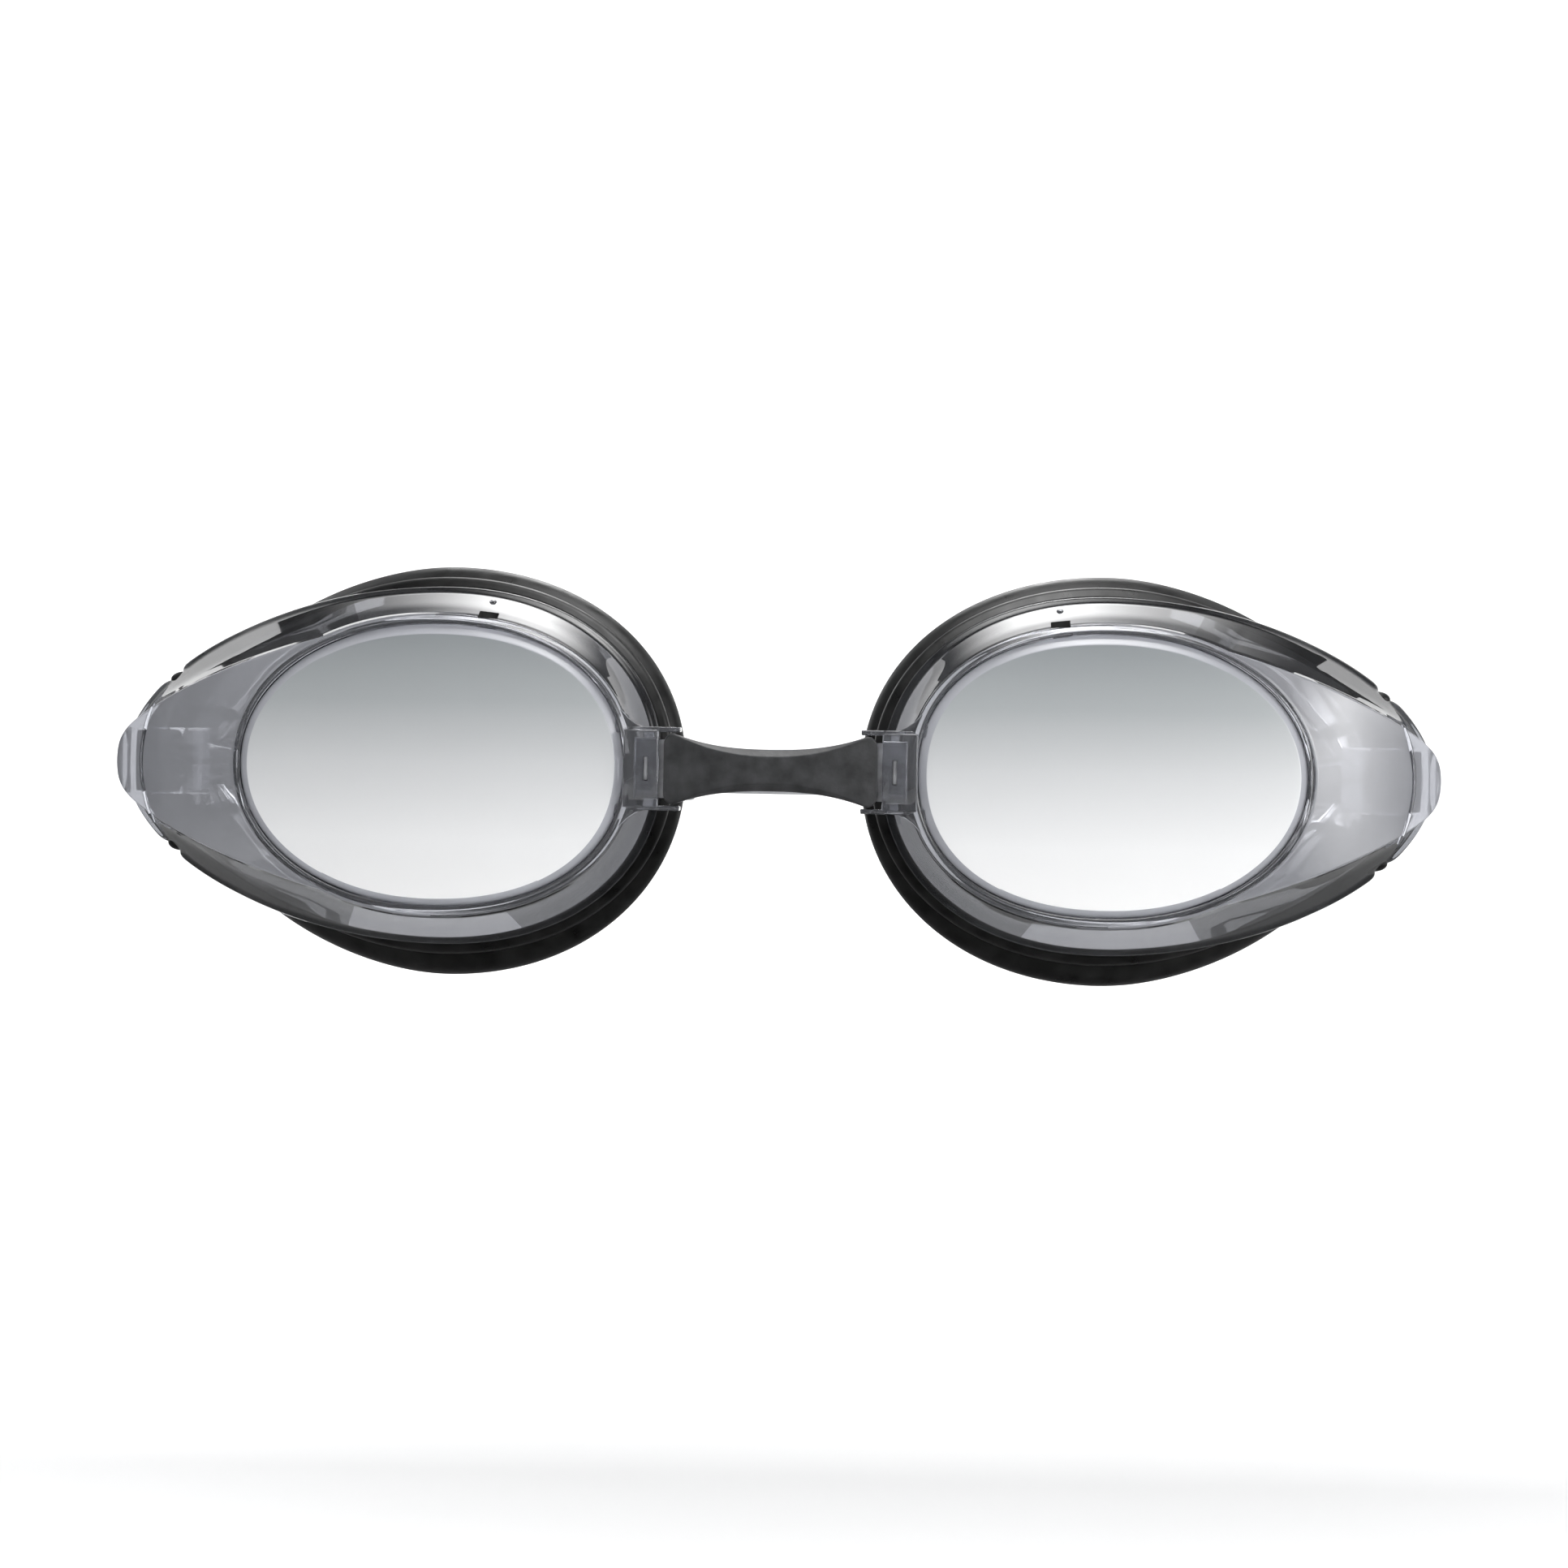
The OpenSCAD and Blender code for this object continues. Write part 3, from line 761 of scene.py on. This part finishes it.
# ---------------------------------------------------------------- assembly
for word, side in SIDES:
    body = word + "_cup"
    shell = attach(cup_frame(word + "_cup_shell", side), body)
    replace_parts(shell, word + "_frame")
    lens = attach(lens_piece(word + "_mirrored_lens", side), body)
    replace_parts(lens, word + "_lens")
    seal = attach(seal_piece(word + "_face_seal", side), body)
    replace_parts(seal, word + "_seal")
    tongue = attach(tongue_piece(word + "_tongue", side), body)
    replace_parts(tongue, word + "_bridge_tongue")
    half = bridge_half(word + "_bridge_half", side)
    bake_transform(half)
    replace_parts(half, "nose_bridge")
    back = STRAP_BACK + (LAYER if side > 0 else 0)
    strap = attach(strap_piece(word + "_strap_half", side, back), word + "_strap")
    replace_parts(strap, word + "_strap")
    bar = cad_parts[word + "_strap_bar"]
    bar.data.materials.clear()
    bar.data.materials.append(SMOKE)
    bar.data.shade_smooth()
    bar.data.set_sharp_from_angle(angle=math.radians(40))


def layer(y):
    """Front and back of the slot round a strap half that lies at y."""
    return (y - STRAP_T / 2 - 0.18, y + STRAP_T / 2 + 0.18)


near, far = layer(STRAP_BACK), layer(STRAP_BACK + LAYER)
low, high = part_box("rear_buckle")
front, rear = (low.x / MM, near[0] - 1.1, -4.28), (high.x / MM, far[1] + 1.1, 4.28)
ribs = [low.x / MM + 1.9 + 1.8 * k for k in range(5)]
buckle = sleeve_piece("rear_slide_buckle", front, rear, [near, far], ribs, BUCKLE, 0.45)
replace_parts(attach(buckle, "buckle"), "rear_buckle")
low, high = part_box("strap_keeper")
front, rear = (low.x / MM, near[0] - 0.9, -4.08), (high.x / MM, far[1] + 0.9, 4.08)
keeper = sleeve_piece("tail_keeper", front, rear, [(near[0], far[1])], [], STRAP, 0.4)
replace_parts(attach(keeper, "keeper"), "strap_keeper")

# ---------------------------------------------------------------- studio
FLOOR_Z, BACKDROP_Y, SWEEP_R, WIDE = -0.2, 1.3, 0.5, 3.0
profile = [(-2.0, FLOOR_Z), (BACKDROP_Y - SWEEP_R, FLOOR_Z)]
profile += [
    (BACKDROP_Y - SWEEP_R + SWEEP_R * math.sin(a), FLOOR_Z + SWEEP_R - SWEEP_R * math.cos(a))
    for a in np.linspace(0, np.pi / 2, 25)[1:]
]
profile.append((BACKDROP_Y, 2.5))
points = [(x * WIDE / MM, y / MM, z / MM) for y, z in profile for x in (-1, 1)]
faces = [(2 * i, 2 * i + 1, 2 * i + 3, 2 * i + 2) for i in range(len(profile) - 1)]
sweep = mesh_object("studio_sweep", points, faces)
sweep.data.materials.append(studio_paper("white_sweep_paper", 0.93))


def flag(name, place, corners, aim, tone):
    """A dark card, flat or turned to aim, that only the reflections see."""
    (x0, y0), (x1, y1) = corners
    card = bpy.data.meshes.new(name)
    card.from_pydata([(x0, y0, 0), (x1, y0, 0), (x1, y1, 0), (x0, y1, 0)], [], [(0, 1, 2, 3)])
    piece = bpy.data.objects.new(name, card)
    bpy.context.scene.collection.objects.link(piece)
    piece.location = place
    if aim:
        piece.rotation_euler = (Vector(aim) - Vector(place)).to_track_quat("Z", "Y").to_euler()
    card.materials.append(tone)
    piece.visible_camera = False
    piece.visible_shadow = False
    piece.visible_diffuse = False


def floor_card():
    """Dark paper under the goggles, black in front and paler behind."""
    m, nodes, links, s = node_material("floor_card")
    place = nodes.new("ShaderNodeTexCoord")
    split = nodes.new("ShaderNodeSeparateXYZ")
    links.new(place.outputs["Object"], split.inputs["Vector"])
    along = nodes.new("ShaderNodeMapRange")
    along.interpolation_type = "SMOOTHSTEP"
    along.inputs["From Min"].default_value = -0.15
    along.inputs["From Max"].default_value = 0.25
    links.new(split.outputs["Y"], along.inputs["Value"])
    tint = ramp(nodes, links, along.outputs["Result"], [(0.0, grey(0.012)), (1.0, grey(0.22))])
    links.new(tint.outputs["Color"], s.inputs["Base Color"])
    s.inputs["Roughness"].default_value = 0.9
    s.inputs["Specular IOR Level"].default_value = 0.1
    return m


black_card = studio_paper("black_card", 0.01)
flag("floor_flag", (0, 0, -0.16), [(-0.6, -0.75), (0.6, 0.86)], None, floor_card())
flag("left_flag", (-0.42, 0.12, -0.1), [(-0.15, -0.15), (0.15, 0.15)], (0, 0, 0), black_card)


def area_light(name, place, aim, size, power):
    light = bpy.data.lights.new(name, "AREA")
    light.shape = "RECTANGLE"
    light.size, light.size_y = size
    light.energy = power
    lamp = bpy.data.objects.new(name, light)
    lamp.location = place
    lamp.rotation_euler = (Vector(aim) - Vector(place)).to_track_quat("-Z", "Y").to_euler()
    lamp.visible_glossy = False
    lamp.visible_transmission = False
    bpy.context.scene.collection.objects.link(lamp)


def soft_panel(name, place, aim, size, strength):
    """A lamp that fades out towards its edges."""
    steps = 24
    card = bpy.data.meshes.new(name)
    xs, ys = np.linspace(-0.5, 0.5, steps + 1) * size[0], np.linspace(-0.5, 0.5, steps + 1) * size[1]
    points = [(x, y, 0) for y in ys for x in xs]
    card.from_pydata(points, [], grid_faces(steps + 1, steps + 1, False, False))
    piece = bpy.data.objects.new(name, card)
    bpy.context.scene.collection.objects.link(piece)
    piece.location = place
    piece.rotation_euler = (Vector(aim) - Vector(place)).to_track_quat("Z", "Y").to_euler()
    m, nodes, links, s = node_material(name)
    spot = nodes.new("ShaderNodeTexCoord")
    scale = nodes.new("ShaderNodeMapping")
    scale.inputs["Scale"].default_value = (2 / size[0], 2 / size[1], 1)
    fade = nodes.new("ShaderNodeTexGradient")
    fade.gradient_type = "QUADRATIC_SPHERE"
    glow = nodes.new("ShaderNodeMath")
    glow.operation = "MULTIPLY"
    glow.inputs[1].default_value = strength
    links.new(spot.outputs["Object"], scale.inputs["Vector"])
    links.new(scale.outputs["Vector"], fade.inputs["Vector"])
    links.new(fade.outputs["Fac"], glow.inputs[0])
    links.new(glow.outputs["Value"], s.inputs["Emission Strength"])
    s.inputs["Emission Color"].default_value = (1, 1, 1, 1)
    s.inputs["Base Color"].default_value = (0.02, 0.02, 0.02, 1)
    card.materials.append(m)
    piece.visible_camera = False


soft_panel("rear_overhead_softbox", (0, 0.55, 0.5), (0, 0.0, 0), (0.7, 0.6), 8.5)
soft_panel("top_softbox", (0.1, -0.1, 0.6), (0, 0, 0), (0.8, 1.0), 11)
area_light("front_fill", (-0.22, -1.3, 0.5), (0, 0, 0), (0.9, 0.6), 5.8)
soft_panel("right_softbox", (0.75, -0.35, 0.12), (0, 0, 0), (1.1, 1.1), 7)
area_light("backdrop_light", (0, 0.2, 1.5), (0, 1.3, 0.0), (1.8, 0.5), 40)

world = bpy.data.worlds.new("studio_world")
bpy.context.scene.world = world
world.use_nodes = True
world.node_tree.nodes["Background"].inputs["Color"].default_value = (0.9, 0.92, 0.95, 1)
world.node_tree.nodes["Background"].inputs["Strength"].default_value = 0.28
bpy.context.scene.view_settings.view_transform = "Standard"

# ---------------------------------------------------------------- camera
AZIMUTH, ROLL, DISTANCE = math.radians(2.0), math.radians(1.0), 0.6
FRAME_W, OFF_CENTRE = 176.74, 1.509
ahead = Vector((-math.sin(AZIMUTH), math.cos(AZIMUTH), 0))
across = Vector((math.cos(AZIMUTH), math.sin(AZIMUTH), 0))
right = across * math.cos(ROLL) + Vector((0, 0, 1)) * math.sin(ROLL)
above = Vector((0, 0, 1)) * math.cos(ROLL) - across * math.sin(ROLL)
aim = Vector((0, FACE_Y0 * MM, 0)) + (right - above) * OFF_CENTRE * MM
camera = bpy.data.objects.new("camera", bpy.data.cameras.new("camera"))
bpy.context.scene.collection.objects.link(camera)
camera.matrix_world = Matrix((right, above, -ahead)).transposed().to_4x4()
camera.location = aim - ahead * DISTANCE
camera.data.sensor_width = 36
camera.data.lens = 36 * DISTANCE / (FRAME_W * MM)
camera.data.clip_start = 0.02
bpy.context.scene.camera = camera

bpy.context.view_layer.update()
